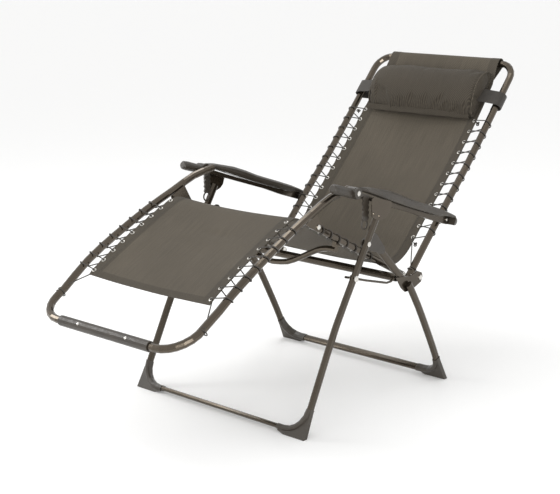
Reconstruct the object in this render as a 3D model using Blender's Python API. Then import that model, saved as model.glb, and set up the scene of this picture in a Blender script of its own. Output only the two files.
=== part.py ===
"""Zero gravity recliner: two crossing leg frames carry a linked seat, leg rest, back and pair of armrests.

Metres, +Z up, the sitter faces -Y, and the sitter's left is +X. The origin is under the middle of the
chair, on the floor. A "side" place is (y, z) seen from the chair's left, with y counted from the front
feet and z from the floor. at() puts such a place into the part's own frame.
"""
import math

import bmesh
import bpy
from mathutils import Vector

for thing in list(bpy.data.objects):
    bpy.data.objects.remove(thing, do_unlink=True)

# ---- driving dimensions -------------------------------------------------------------------------
FRONT_FEET_TO_ORIGIN = 0.3495    # how far behind the front feet the origin stands
GAP = 0.0003                     # between touching solids
SIDES = (("left", 1.0), ("right", -1.0))

TUBE_R = 0.011                   # leg rest and back tube, 22 mm
BACK_X = 0.268                   # back tube centre line from the middle of the chair
BEND_R = 0.085                   # corner of the leg rest
SEAT_TUBE_R = 0.010
SEAT_TUBE_X = 0.236
LEG_DEEP, LEG_THICK = 0.024, 0.013   # flat-sided oval tube of both leg frames
BAR_THICK = 0.012
PLATE_THICK = 0.003
BOLT_R = 0.004
BORE_R = 0.0045
LACE_R = 0.0016
LACE_TURN_STEPS = 7
LACE_TURN_R = 0.0146             # lace centre line round a 22 mm tube
SLING_THICK = 0.004
GROMMET_PITCH = 0.041

# side places (y, z)
ARM_FRONT = (0.248, 0.637)       # leg rest to armrest, under the lock lever
ARM_REAR = (0.695, 0.4915)       # armrest to back
KNEE = (0.148, 0.551)            # leg rest to seat
HIP = (0.548, 0.343)             # seat, back and rear leg share this bolt
CROSS = (0.2785, 0.4920)         # front leg crosses rear leg
SADDLE = (0.3220, 0.5650)        # top of the front leg in the armrest slider
STAY = (0.2215, 0.4045)          # stay rod on the front leg

# across the chair, from the middle outwards
REAR_BAR_X = 0.2995
BRACKET_OUT = 0.3058             # inner face of the plates that tie bar, leg and bolts together
REAR_X_TOP, REAR_X_FOOT = 0.3156, 0.3165
FRONT_X_TOP, FRONT_X_FOOT = 0.3165, 0.3175
STAY_X = 0.3020
SHIELD_X = 0.3235                # inner face of the saddle's plate
GRIP_X = 0.2875
ARM_X = 0.291
PAD_X = 0.2997
HUB_IN, HUB_OUT = 0.2755, 0.3026
LEVER_IN, LEVER_OUT = 0.3030, 0.3092

# (x, side place) down the leg rest rail, and side places along the other rails
LEG_REST_RAIL = ((0.262, (0.262, 0.642)), (0.2625, (0.181, 0.628)), (0.264, (0.099, 0.5959)),
                 (0.2690, (0.0, 0.5550)), (0.2745, (-0.120, 0.4965)), (0.2770, (-0.220, 0.4415)),
                 (0.275, (-0.310, 0.3770)))
FOOT_BAR = (-0.4054, 0.3280)
FOOT_BAR_X = 0.266
BACK_LOW = (0.5405, 0.3320)
BACK_RAIL = (BACK_LOW, (0.695, 0.4925), (0.834, 0.6290), (0.9685, 0.7750))
BACK_TOP = (1.104, 0.9250)
BACK_CORNER_R = 0.055

FRONT_FOOT = (0.0095, 0.013)
FRONT_LEG_CURVE = ((0.3275, 0.5740), (0.2302, 0.4175), (0.1482, 0.2858), (0.0786, 0.1514))
FRONT_BEND_R = 0.066
REAR_BAR_TOP, REAR_BAR_LOW = (0.338, 0.479), (0.490, 0.332)
REAR_LEG_CURVE = ((0.482, 0.336), (0.5313, 0.2601), (0.5711, 0.1905), (0.6106, 0.1185), (0.6310, 0.0780))
REAR_FOOT = (0.660, 0.019)
REAR_BEND_R = 0.062
REAR_CROSSBAR = (0.452, 0.3575)
REAR_CROSSBAR_R = 0.0120

SEAT_BAR = (0.243, 0.469)        # where the bowed bar under the seat starts
SEAT_BAR_BOW = ((0.236, 0.0), (0.205, 0.001), (0.170, 0.010), (0.110, 0.040), (0.055, 0.064), (0.0, 0.072))
LEVER_HANG = 0.0345              # how far behind the hub bolt the stem hangs
LEVER_RING = (0.2790, 0.5450)
SADDLE_RIVET = (0.2965, 0.5754)

# sling edges, side places from the foot end or the lower end
LEG_EDGE = ((-0.256, 0.4150), (-0.2200, 0.4400), (-0.1390, 0.4860), (-0.0640, 0.5235), (0.010, 0.5590),
            (0.066, 0.5810))
SEAT_EDGE = ((0.132, 0.556), (0.185, 0.5310), (0.300, 0.4700), (0.420, 0.4070), (0.485, 0.3790))
BACK_EDGE = ((0.598, 0.3925), (0.640, 0.4360), (0.695, 0.4925), (0.834, 0.6290), (0.9685, 0.7750), (1.085, 0.9020))

PILLOW_START, PILLOW_LENGTH = -0.019, 0.174      # from the last bend of the back rail
PILLOW_PROFILE = ((0.0, 0.006), (0.008, 0.026), (0.030, 0.047), (0.080, 0.0705), (0.122, 0.0690),
                  (0.154, 0.054), (0.174, 0.016), (0.158, 0.0035), (0.083, 0.0030), (0.012, 0.0035))
PILLOW_STATIONS = ((-0.2115, 0.60), (-0.198, 0.78), (-0.155, 0.96), (-0.05, 1.0), (0.1, 1.0), (0.200, 0.98),
                   (0.2115, 0.88))               # x, and the share of the full profile there


# ---- small helpers ------------------------------------------------------------------------------
def at(x, side):
    return Vector((x, side[0] - FRONT_FEET_TO_ORIGIN, side[1]))


def along(a, b, t):
    return (a[0] + (b[0] - a[0]) * t, a[1] + (b[1] - a[1]) * t)


def offset(origin, direction, forward, up):
    """The side place `forward` along a unit side direction from origin, and `up` square to it."""
    return (origin[0] + direction[0] * forward - direction[1] * up,
            origin[1] + direction[1] * forward + direction[0] * up)


def heading(a, b):
    length = math.hypot(b[0] - a[0], b[1] - a[1])
    return ((b[0] - a[0]) / length, (b[1] - a[1]) / length)


def material(name, colour, roughness, metallic=0.0):
    made = bpy.data.materials.get(name) or bpy.data.materials.new(name)
    made.use_nodes = True
    shader = made.node_tree.nodes["Principled BSDF"]
    shader.inputs["Base Color"].default_value = (*colour, 1.0)
    shader.inputs["Roughness"].default_value = roughness
    shader.inputs["Metallic"].default_value = metallic
    return made


def finish(name, mesh_maker, finish_material, smooth=True):
    """Turn a bmesh into a named object whose faces point out."""
    bmesh.ops.recalc_face_normals(mesh_maker, faces=mesh_maker.faces)
    mesh = bpy.data.meshes.new(name)
    mesh_maker.to_mesh(mesh)
    mesh_maker.free()
    if smooth:
        mesh.shade_smooth()
        mesh.set_sharp_from_angle(angle=math.radians(40))
    mesh.materials.append(finish_material)
    made = bpy.data.objects.new(name, mesh)
    bpy.context.scene.collection.objects.link(made)
    return made


def ring(radius, sides=12):
    return [(radius * math.cos(2 * math.pi * k / sides), radius * math.sin(2 * math.pi * k / sides))
            for k in range(sides)]


def stadium(width, height, steps=5):
    """A flat-sided oval, `width` along u and `height` along v, with the wider way along u."""
    radius = height / 2
    reach = width / 2 - radius
    points = []
    for centre, start in ((reach, -90), (-reach, 90)):
        for k in range(steps + 1):
            turn = math.radians(start + 180 * k / steps)
            points.append((centre + radius * math.cos(turn), radius * math.sin(turn)))
    return points


def rounded(points, radius, steps=6):
    """A path with each inner corner replaced by an arc."""
    path = [points[0]]
    for before, corner, after in zip(points, points[1:], points[2:]):
        back, ahead = (before - corner).normalized(), (after - corner).normalized()
        half = back.angle(ahead) / 2
        reach = radius / math.tan(half)
        centre = corner + (back + ahead).normalized() * (radius / math.sin(half))
        start, end = corner + back * reach - centre, corner + ahead * reach - centre
        sweep_angle = start.angle(end)
        for k in range(steps + 1):
            t = k / steps
            blend = start * math.sin((1 - t) * sweep_angle) + end * math.sin(t * sweep_angle)
            path.append(centre + blend / math.sin(sweep_angle))
    path.append(points[-1])
    return path


def smooth_path(points, steps):
    """A Catmull-Rom curve through the points."""
    path = []
    padded = [points[0] * 2 - points[1], *points, points[-1] * 2 - points[-2]]
    for a, b, c, d in zip(padded, padded[1:], padded[2:], padded[3:]):
        for k in range(steps):
            t = k / steps
            path.append(0.5 * (2 * b + (c - a) * t + (2 * a - 5 * b + 4 * c - d) * t ** 2
                               + (3 * b - a - 3 * c + d) * t ** 3))
    path.append(points[-1])
    return path


def frames_along(path, side_axis):
    """At each point of the path, the tangent and two square directions, carried without twist."""
    frames = []
    normal = side_axis
    for k, point in enumerate(path):
        tangent = (path[min(k + 1, len(path) - 1)] - path[max(k - 1, 0)]).normalized()
        normal = (normal - tangent * normal.dot(tangent)).normalized()
        frames.append((point, normal, tangent.cross(normal)))
    return frames


def sweep(name, path, section, made_of, side_axis=Vector((0, 0, 1)), smooth=True):
    """A solid of one section carried along the path, with closed ends."""
    maker = bmesh.new()
    rings = []
    for point, u_axis, v_axis in frames_along(path, side_axis):
        rings.append([maker.verts.new(point + u_axis * u + v_axis * v) for u, v in section])
    count = len(section)
    for first, second in zip(rings, rings[1:]):
        for k in range(count):
            maker.faces.new((first[k], first[(k + 1) % count], second[(k + 1) % count], second[k]))
    maker.faces.new(rings[0])
    maker.faces.new(list(reversed(rings[-1])))
    return finish(name, maker, made_of, smooth)


def plate(name, outline, x_from, x_to, made_of):
    """A flat plate: a side outline, extruded across the chair."""
    maker = bmesh.new()
    near = [maker.verts.new(at(x_from, side)) for side in outline]
    far = [maker.verts.new(at(x_to, side)) for side in outline]
    for k in range(len(outline)):
        following = (k + 1) % len(outline)
        maker.faces.new((near[k], near[following], far[following], far[k]))
    maker.faces.new(near)
    maker.faces.new(list(reversed(far)))
    return finish(name, maker, made_of, smooth=False)


def turned(name, side, profile, made_of, sides=12):
    """A round piece across the chair: (x, radius) stations, with closed ends."""
    maker = bmesh.new()
    rings = []
    for x, radius in profile:
        rings.append([maker.verts.new(at(x, (side[0] + u, side[1] + v))) for u, v in ring(radius, sides)])
    for first, second in zip(rings, rings[1:]):
        for k in range(sides):
            maker.faces.new((first[k], first[(k + 1) % sides], second[(k + 1) % sides], second[k]))
    maker.faces.new(rings[0])
    maker.faces.new(list(reversed(rings[-1])))
    return finish(name, maker, made_of)


def hull_outline(circles, steps=16):
    """The side outline of an elastic band round some (centre, radius) circles, counter-clockwise."""
    points = [(centre[0] + radius * math.cos(2 * math.pi * k / steps),
               centre[1] + radius * math.sin(2 * math.pi * k / steps))
              for centre, radius in circles for k in range(steps)]
    points = sorted(set(points))

    def half(ordered):
        chain = []
        for p in ordered:
            while len(chain) > 1 and ((chain[-1][0] - chain[-2][0]) * (p[1] - chain[-2][1])
                                      - (chain[-1][1] - chain[-2][1]) * (p[0] - chain[-2][0])) <= 0:
                chain.pop()
            chain.append(p)
        return chain[:-1]

    return half(points) + half(points[::-1])


def modified(target, cutter, operation, self_cut=False):
    change = target.modifiers.new(operation.lower(), "BOOLEAN")
    change.operation = operation
    change.solver = "EXACT"
    change.use_self = self_cut
    change.object = cutter
    cutter.hide_render = True
    cutter.display_type = "WIRE"


def bored(target, side, x_middle, length=0.06, radius=BORE_R):
    """A bolt hole across the chair through the target."""
    cutter = turned(target.name + "_bore", side,
                    ((x_middle - length / 2, radius), (x_middle + length / 2, radius)), STEEL, 12)
    modified(target, cutter, "DIFFERENCE")


def fused(target, *others):
    for other in others:
        modified(target, other, "UNION")


def bolt(name, side, x_from, x_to, sign, head_r=0.0075, head=0.004, nut_r=0.0065):
    """A pin with a domed head outside (x_to) and a nut inside (x_from)."""
    profile = ((x_from - 0.0035, nut_r), (x_from - GAP, nut_r), (x_from - GAP, BOLT_R), (x_to + GAP, BOLT_R),
               (x_to + GAP, head_r), (x_to + head * 0.6, head_r), (x_to + head, head_r * 0.55))
    return turned(name, side, [(sign * x, r) for x, r in profile], STEEL)


FRAME = material("frame_paint", (0.155, 0.125, 0.095), 0.32, 0.6)
LEG_PAINT = material("leg_paint", (0.17, 0.145, 0.115), 0.36, 0.6)
STEEL = material("bright_steel", (0.62, 0.60, 0.56), 0.25, 1.0)
PLASTIC = material("dark_plastic", (0.10, 0.085, 0.068), 0.5)
FABRIC = material("sling_fabric", (0.17, 0.145, 0.12), 0.85)
DARK_FABRIC = material("pillow_fabric", (0.10, 0.085, 0.068), 0.9)
ELASTIC = material("elastic_cord", (0.07, 0.06, 0.05), 0.8)


# ---- leg frames ---------------------------------------------------------------------------------
def leg_loop(curve, x_top, foot, x_foot, bend):
    """A U path: down one leg, across the floor and up the other."""
    left = smooth_path([at(x_top, side) for side in curve], 2)
    right = mirrored(left)
    turned_path = rounded([left[-1], at(x_foot, foot), at(-x_foot, foot), right[-1]], bend, 5)
    return left[:-1] + turned_path[1:-1] + right[::-1]


def mirrored(path):
    return [Vector((-p.x, p.y, p.z)) for p in path]


def front_leg():
    loop = leg_loop(FRONT_LEG_CURVE, FRONT_X_TOP, FRONT_FOOT, FRONT_X_FOOT, FRONT_BEND_R)
    section = stadium(LEG_DEEP, LEG_THICK, 4)
    frame = sweep("front_leg_frame", loop, section, LEG_PAINT, Vector((0, 1, 0)))
    for name, sign in SIDES:
        for bolt_place in (CROSS, SADDLE, STAY):
            bored(frame, bolt_place, sign * FRONT_X_TOP)
        boot(f"front_boot_{name}", loop, section, sign, FRONT_FOOT, FRONT_LEG_CURVE[-1], FRONT_X_FOOT,
             FRONT_BEND_R)


def rear_leg():
    loop = leg_loop(REAR_LEG_CURVE, REAR_X_TOP, REAR_FOOT, REAR_X_FOOT, REAR_BEND_R)
    section = stadium(LEG_DEEP, LEG_THICK, 4)
    sweep("rear_leg_frame", loop, section, LEG_PAINT, Vector((0, 1, 0)))
    for name, sign in SIDES:
        boot(f"rear_boot_{name}", loop, section, sign, REAR_FOOT, REAR_LEG_CURVE[-1], REAR_X_FOOT, REAR_BEND_R)
        rear_bar(name, sign)
        rear_bracket(name, sign)
        cross_bracket(name, sign)
    bar_end = REAR_BAR_X - BAR_THICK / 2 - GAP
    sweep("rear_crossbar", [at(-bar_end, REAR_CROSSBAR), at(bar_end, REAR_CROSSBAR)], ring(REAR_CROSSBAR_R),
          LEG_PAINT)


def cut_path(path, top_z, end_x):
    """The part of a U path from the height top_z on its +X leg down to end_x on the floor run."""
    kept = []
    for a, b in zip(path, path[1:]):
        if a.z > top_z >= b.z:
            kept.append(a.lerp(b, (a.z - top_z) / (a.z - b.z)))
        if kept and b.x < end_x:
            kept.append(a.lerp(b, (a.x - end_x) / (a.x - b.x)))
            break
        if kept:
            kept.append(b)
    return kept


def boot(name, loop, section, sign, foot, leg_point, x_foot, bend, backwards=0.0):
    """A plastic corner shoe: a close sleeve round the tube's bend, and a web out to a sharp corner on the floor."""
    up = heading(foot, leg_point)
    half_thick = 0.0075
    x_inner, height, floor_rise = x_foot - 0.088, 0.080, foot[1] / up[1]
    path = cut_path(loop, (height + 0.002) * up[1], x_inner)
    if sign < 0:
        path = mirrored(path)
    shoe = sweep(name, path, [(u * 1.13, v * 1.24) for u, v in section], PLASTIC, Vector((0, 1, 0)))
    arc = [(x_foot - 0.0013 - bend * (1 - math.cos(turn)), floor_rise + 0.0007 + bend * (1 - math.sin(turn)))
           for turn in (math.radians(12 + 22 * k) for k in range(4))]
    outline = [(x_foot + 0.0125, 0.0), (x_foot + 0.0070, height), (x_foot - 0.0010, height), *arc,
               (x_inner + 0.0033, floor_rise + 0.0004), (x_inner + 0.0033, floor_rise - 0.0078),
               (x_inner + 0.026, 0.0)]
    on_floor = foot[0] - up[0] * floor_rise + backwards
    maker = bmesh.new()
    near, far = ([maker.verts.new(at(sign * x, offset((on_floor + shift, 0.0), up, rise, 0.0)))
                  for x, rise in outline] for shift in (-half_thick, half_thick + 0.0004))
    for k in range(len(outline)):
        following = (k + 1) % len(outline)
        maker.faces.new((near[k], near[following], far[following], far[k]))
    maker.faces.new(near)
    maker.faces.new(list(reversed(far)))
    bmesh.ops.triangulate(maker, faces=maker.faces[:])
    fused(shoe, finish(name + "_web", maker, PLASTIC, smooth=False))
    roomy = [(u * 1.035, v * 1.07) for u, v in section]
    modified(shoe, sweep(name + "_tube", loop, roomy, PLASTIC, Vector((0, 1, 0))), "DIFFERENCE")


def rear_bar(name, sign):
    sweep(f"rear_bar_{name}", [at(sign * REAR_BAR_X, REAR_BAR_TOP), at(sign * REAR_BAR_X, REAR_BAR_LOW)],
          stadium(LEG_DEEP, BAR_THICK), LEG_PAINT, Vector((0, 1, 1)))


def rear_bracket(name, sign):
    outline = ((0.430, 0.3640), (0.4545, 0.3290), (0.474, 0.3130), (0.505, 0.3115), (0.552, 0.3280),
               (0.5610, 0.3430), (0.5560, 0.3560), (0.535, 0.3640), (0.500, 0.3560), (0.474, 0.3590))
    bracket = plate(f"rear_bracket_{name}", outline, sign * BRACKET_OUT, sign * (BRACKET_OUT + PLATE_THICK),
                    LEG_PAINT)
    bored(bracket, HIP, sign * BRACKET_OUT)


def cross_bracket(name, sign):
    outline = hull_outline(((CROSS, 0.015), ((0.324, 0.5005), 0.013), ((0.362, 0.458), 0.011)), 12)
    bracket = plate(f"cross_bracket_{name}", outline, sign * BRACKET_OUT, sign * (BRACKET_OUT + 0.0038), PLASTIC)
    bored(bracket, CROSS, sign * BRACKET_OUT)


def cross_bolts():
    for name, sign in SIDES:
        bolt(f"cross_bolt_{name}", CROSS, BRACKET_OUT, FRONT_X_TOP + LEG_THICK / 2, sign)


def stay_rods():
    """Thin rods from a knob on each front leg back to the bar between the rear legs."""
    for name, sign in SIDES:
        route = [at(sign * STAY_X, side) for side in ((0.203, 0.4095), (0.300, 0.3805), (0.392, 0.3555),
                                                      (0.412, 0.3555), (0.426, 0.3620))]
        sweep(f"stay_rod_{name}", route, ring(0.0034, 8), LEG_PAINT)
        bolt(f"stay_knob_{name}", STAY, FRONT_X_TOP - LEG_THICK / 2, FRONT_X_TOP + LEG_THICK / 2, sign,
             0.009, 0.006, 0.0085)


# ---- leg rest -----------------------------------------------------------------------------------
def leg_rest_path():
    rail = smooth_path([at(x, side) for x, side in LEG_REST_RAIL], 2)
    other = mirrored(rail)
    foot = rounded([rail[-1], at(FOOT_BAR_X, FOOT_BAR), at(-FOOT_BAR_X, FOOT_BAR), other[-1]], BEND_R)
    return rail[:-1] + foot[1:-1] + other[::-1]


def sleeve(name, side, half_length, inner, outer, made_of, sides=12):
    """A tube that is open at both ends, across the chair."""
    maker = bmesh.new()
    rings = []
    for x, radius in ((-half_length, inner), (-half_length, outer), (half_length, outer), (half_length, inner)):
        rings.append([maker.verts.new(at(x, (side[0] + u, side[1] + v))) for u, v in ring(radius, sides)])
    for k in range(4):
        first, second = rings[k], rings[(k + 1) % 4]
        for n in range(sides):
            maker.faces.new((first[n], first[(n + 1) % sides], second[(n + 1) % sides], second[n]))
    return finish(name, maker, made_of)


def leg_rest():
    frame = sweep("leg_rest_frame", leg_rest_path(), ring(TUBE_R, 10), FRAME)
    rail_x = LEG_REST_RAIL[0][0]
    sleeve("footrest_sleeve", FOOT_BAR, 0.172, TUBE_R + 0.0004, 0.0145, PLASTIC)
    for name, sign in SIDES:
        outline = hull_outline(((KNEE, 0.013), ((0.082, 0.5800), 0.006), ((0.128, 0.603), 0.004)), 10)
        hanger = plate(f"knee_bracket_{name}", outline, sign * (rail_x - TUBE_R - 0.0030),
                       sign * (rail_x - TUBE_R - GAP), FRAME)
        bored(hanger, KNEE, sign * 0.25)
        bolt(f"knee_bolt_{name}", KNEE, SEAT_TUBE_X - SEAT_TUBE_R, rail_x - TUBE_R, sign)


# ---- seat and back ------------------------------------------------------------------------------
def seat():
    direction = heading(KNEE, HIP)
    front, rear = offset(KNEE, direction, -0.014, 0.0), offset(HIP, direction, 0.014, 0.0)
    for name, sign in SIDES:
        tube = sweep(f"seat_tube_{name}", [at(sign * SEAT_TUBE_X, front), at(sign * SEAT_TUBE_X, rear)],
                     ring(SEAT_TUBE_R), FRAME)
        bored(tube, KNEE, sign * SEAT_TUBE_X)
        bored(tube, HIP, sign * SEAT_TUBE_X)
    half = [at(x, (SEAT_BAR[0], SEAT_BAR[1] - drop)) for x, drop in SEAT_BAR_BOW]
    left = smooth_path(half, 2)
    sweep("seat_crossbar", left + mirrored(left)[-2::-1], ring(0.0085, 10), FRAME)
    for name, sign in SIDES:
        seat_clip(name, sign, direction)


def seat_clip(name, sign, direction):
    """The strap that hangs the bowed bar under a seat tube."""
    over = along(KNEE, HIP, (SEAT_BAR[0] - KNEE[0]) / (HIP[0] - KNEE[0]))
    low = (SEAT_BAR[0], SEAT_BAR[1] + 0.0089)
    high = (over[0], over[1] - SEAT_TUBE_R / direction[0] - 0.0006)
    outline = ((low[0] - 0.008, low[1]), (low[0] + 0.008, low[1]),
               (high[0] + 0.008, high[1] - 0.0043), (high[0] - 0.008, high[1] + 0.0043))
    plate(f"seat_clip_{name}", outline, sign * (SEAT_TUBE_X - 0.007), sign * (SEAT_TUBE_X + 0.007), FRAME)


def back():
    rail = smooth_path([at(BACK_X, side) for side in BACK_RAIL], 2)
    top = rounded([rail[-1], at(BACK_X, BACK_TOP), at(-BACK_X, BACK_TOP), mirrored(rail)[-1]], BACK_CORNER_R)
    frame = sweep("back_frame", rail[:-1] + top[1:-1] + mirrored(rail)[::-1], ring(TUBE_R, 10), FRAME)
    for name, sign in SIDES:
        bored(frame, HIP, sign * BACK_X)
        bored(frame, ARM_REAR, sign * BACK_X)
        bolt(f"hip_bolt_{name}", HIP, SEAT_TUBE_X - SEAT_TUBE_R, BRACKET_OUT + PLATE_THICK, sign)
        bolt(f"arm_rear_bolt_{name}", ARM_REAR, BACK_X - TUBE_R, ARM_X + 0.006, sign, 0.0048, 0.003, 0.0048)
    sleeve("top_sleeve", BACK_TOP, 0.2105, TUBE_R + 0.0004, 0.0145, FABRIC)


# ---- armrests -----------------------------------------------------------------------------------
ARM_WAY = heading(ARM_FRONT, ARM_REAR)


def on_arm(forward, up):
    return offset(ARM_FRONT, ARM_WAY, forward, up)


def arm_rail(name, sign):
    """The steel bar from the front hub to the back."""
    outline = [on_arm(*p) for p in ((0.022, -0.0090), (0.200, -0.0098), (0.290, -0.0100), (0.376, -0.0142),
                                    (0.470, -0.0146), (0.484, -0.0120), (0.484, 0.0085), (0.446, 0.0085),
                                    (0.400, 0.0020), (0.150, 0.0020), (0.022, 0.0045))]
    rail = plate(f"arm_rail_{name}", outline, sign * (ARM_X - 0.006), sign * (ARM_X + 0.006), LEG_PAINT)
    bored(rail, ARM_REAR, sign * ARM_X)


def arm_pad(name, sign):
    """An arched moulding above the rail with a slot between the two, closed round the rail's rear end."""
    top = ((0.026, 0.0205), (0.050, 0.0255), (0.094, 0.0290), (0.142, 0.0325), (0.192, 0.0312), (0.245, 0.0275),
           (0.300, 0.0265), (0.360, 0.0262), (0.421, 0.0247), (0.465, 0.0212), (0.494, 0.0180), (0.5045, 0.0140),
           (0.512, 0.0080))
    bottom = ((0.026, 0.0110), (0.100, 0.0085), (0.170, 0.0055), (0.240, 0.0035), (0.400, 0.0028), (0.446, 0.0093),
              (0.4846, 0.0093), (0.4850, -0.0125), (0.494, -0.0115), (0.5045, -0.0075), (0.512, -0.0010))
    width = ((0.485, 1.0), (0.494, 0.93), (0.5045, 0.72), (0.512, 0.38))
    maker = bmesh.new()
    stations = [(-0.0170, 0.0), (-0.0195, 0.35), (-0.0170, 0.72), (-0.009, 0.96), (0.0, 1.0), (0.009, 0.96),
                (0.0170, 0.72), (0.0195, 0.35), (0.0170, 0.0)]
    rows = []
    for forward in sorted({f for f, _ in top + bottom}):
        low, height, share_x = (interpolate(each, forward) for each in (bottom, top, width))
        rows.append([maker.verts.new(at(sign * (PAD_X + across * share_x),
                                        on_arm(forward, low + (height - low) * share)))
                     for across, share in stations])
    for first, second in zip(rows, rows[1:]):
        for k in range(len(stations)):
            following = (k + 1) % len(stations)
            maker.faces.new((first[k], first[following], second[following], second[k]))
    maker.faces.new(rows[0])
    maker.faces.new(list(reversed(rows[-1])))
    finish(f"arm_pad_{name}", maker, PLASTIC)


def interpolate(table, value):
    for (a, low), (b, high) in zip(table, table[1:]):
        if value <= b:
            return low + (high - low) * max(0.0, (value - a)) / (b - a)
    return table[-1][1]


def arm_grip(name, sign):
    """The round hand grip in front of the hub, with the hub as one moulding."""
    axis = [at(sign * GRIP_X, on_arm(f, -0.003 + min(f, 0.0) * 0.02)) for f in (-0.091, -0.087, -0.074, -0.030, 0.012, 0.0205)]
    radii = (0.009, 0.0125, 0.0138, 0.0132, 0.0132, 0.0132)
    maker = bmesh.new()
    rings = []
    for (point, u_axis, v_axis), radius in zip(frames_along(axis, Vector((1, 0, 0))), radii):
        rings.append([maker.verts.new(point + u_axis * u + v_axis * v) for u, v in ring(radius, 14)])
    for first, second in zip(rings, rings[1:]):
        for k in range(14):
            maker.faces.new((first[k], first[(k + 1) % 14], second[(k + 1) % 14], second[k]))
    maker.faces.new(rings[0])
    maker.faces.new(list(reversed(rings[-1])))
    grip = finish(f"arm_grip_{name}", maker, PLASTIC)
    hub = turned(f"arm_hub_{name}", ARM_FRONT, ((sign * HUB_IN, 0.0165), (sign * HUB_OUT, 0.0165)), PLASTIC, 18)
    fused(grip, hub)
    bored(grip, ARM_FRONT, sign * ARM_X)


def lock_lever(name, sign):
    """A round head on the hub bolt, an arm back to a ribbed stem that hangs down, and a pull ring."""
    head = turned(f"lock_lever_{name}", ARM_FRONT, ((sign * LEVER_IN, 0.0160), (sign * LEVER_OUT, 0.0160)), PLASTIC, 16)
    top, bottom, ribs = ARM_FRONT[1] + 0.004, LEVER_RING[1] + 0.011, 5
    middle = ARM_FRONT[0] + LEVER_HANG
    outline = [(ARM_FRONT[0], top), (ARM_FRONT[0] + 0.004, ARM_FRONT[1] - 0.014)]
    ridged = [(k, top - 0.014 - (top - 0.014 - bottom) * k / (2 * ribs)) for k in range(2 * ribs + 1)]
    outline += [(middle - (0.0140 if k % 2 else 0.0100), z) for k, z in ridged]
    outline += [(middle + (0.0140 if k % 2 else 0.0100), z) for k, z in reversed(ridged)]
    stem = plate(f"lever_stem_{name}", outline, sign * (LEVER_IN + 0.0006), sign * (LEVER_OUT - 0.0006), PLASTIC)
    pull = pull_ring(f"lever_ring_{name}", sign * (LEVER_IN + LEVER_OUT) / 2)
    fused(head, stem, pull)
    bored(head, ARM_FRONT, sign * ARM_X, 0.09)


def pull_ring(name, x):
    maker = bmesh.new()
    steps, sides = 16, 6
    rings = []
    for k in range(steps):
        turn = 2 * math.pi * k / steps
        spoke = (math.cos(turn), math.sin(turn))
        rings.append([maker.verts.new(at(x + v, (LEVER_RING[0] + spoke[0] * (0.0125 + u),
                                                 LEVER_RING[1] + spoke[1] * (0.0130 + u))))
                      for u, v in ring(0.0024, sides)])
    for k in range(steps):
        first, second = rings[k], rings[(k + 1) % steps]
        for n in range(sides):
            maker.faces.new((first[n], first[(n + 1) % sides], second[(n + 1) % sides], second[n]))
    return finish(name, maker, PLASTIC)


def saddle(name, sign):
    """The shield outside the front leg's top. A stub pin turns in the leg; a second rivet sits ahead of it."""
    outline = ((0.2865, 0.6020), (0.2885, 0.6190), (0.2960, 0.6215), (0.3720, 0.6000), (0.3790, 0.5940),
               (0.3700, 0.5690), (0.3580, 0.5585), (0.3320, 0.5500), (0.3020, 0.5590), (0.2885, 0.5680))
    shield = plate(f"saddle_{name}", outline, sign * SHIELD_X, sign * (SHIELD_X + 0.0022), FRAME)
    outer = SHIELD_X + 0.0020
    rivets = [turned(f"saddle_rivet_{index}_{name}", side,
                     ((sign * x_from, 0.0038), (sign * outer, 0.0038), (sign * outer, 0.0050),
                      (sign * (outer + 0.0018), 0.0036)), STEEL)
              for index, (side, x_from) in enumerate(((SADDLE_RIVET, SHIELD_X - 0.004),
                                                      (SADDLE, FRONT_X_TOP - LEG_THICK / 2 + GAP)))]
    fused(shield, *rivets)


def arm(name, sign):
    arm_rail(name, sign)
    arm_pad(name, sign)
    arm_grip(name, sign)
    lock_lever(name, sign)
    saddle(name, sign)
    turned(f"arm_front_bolt_{name}", ARM_FRONT,
           [(sign * x, r) for x, r in ((HUB_IN - 0.0012, BOLT_R), (LEVER_OUT + GAP, BOLT_R), (LEVER_OUT + GAP, 0.0075),
                                       (LEVER_OUT + 0.0020, 0.0075), (LEVER_OUT + 0.0030, 0.0045))], STEEL)


# ---- sling and lacing ---------------------------------------------------------------------------
def sling(name, edge, half_width, sag, made_of=FABRIC):
    """One stretch of the sling: a thin slab hung between its two edges, deepest in the middle."""
    maker = bmesh.new()
    columns = 8
    layers = []
    for lift in (SLING_THICK / 2, -SLING_THICK / 2):
        grid = []
        for k, side in enumerate(edge):
            way = heading(edge[max(k - 1, 0)], edge[min(k + 1, len(edge) - 1)])
            share = math.sin(math.pi * min(max(k / (len(edge) - 1), 0.0), 1.0)) * 0.6 + 0.4
            row = []
            for c in range(columns + 1):
                across = 2 * c / columns - 1
                drop = sag * share * (1 - across ** 2)
                row.append(maker.verts.new(at(across * half_width, offset(side, way, 0.0, lift - drop))))
            grid.append(row)
        layers.append(grid)
    upper, lower = layers
    rows = len(edge)
    for k in range(rows - 1):
        for c in range(columns):
            maker.faces.new((upper[k][c], upper[k][c + 1], upper[k + 1][c + 1], upper[k + 1][c]))
            maker.faces.new((lower[k][c], lower[k + 1][c], lower[k + 1][c + 1], lower[k][c + 1]))
        for c in (0, columns):
            maker.faces.new((upper[k][c], upper[k + 1][c], lower[k + 1][c], lower[k][c]))
    for k in (0, rows - 1):
        for c in range(columns):
            maker.faces.new((upper[k][c], upper[k][c + 1], lower[k][c + 1], lower[k][c]))
    finish(name, maker, made_of)


def rail_point(curve, distance):
    """The x, side place and heading at a distance along a list of (x, side) points."""
    for (x_a, a), (x_b, b) in zip(curve, curve[1:]):
        length = math.hypot(b[0] - a[0], b[1] - a[1])
        if distance <= length:
            break
        distance -= length
    share = distance / length
    return x_a + (x_b - x_a) * share, along(a, b, share), heading(a, b)


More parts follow.
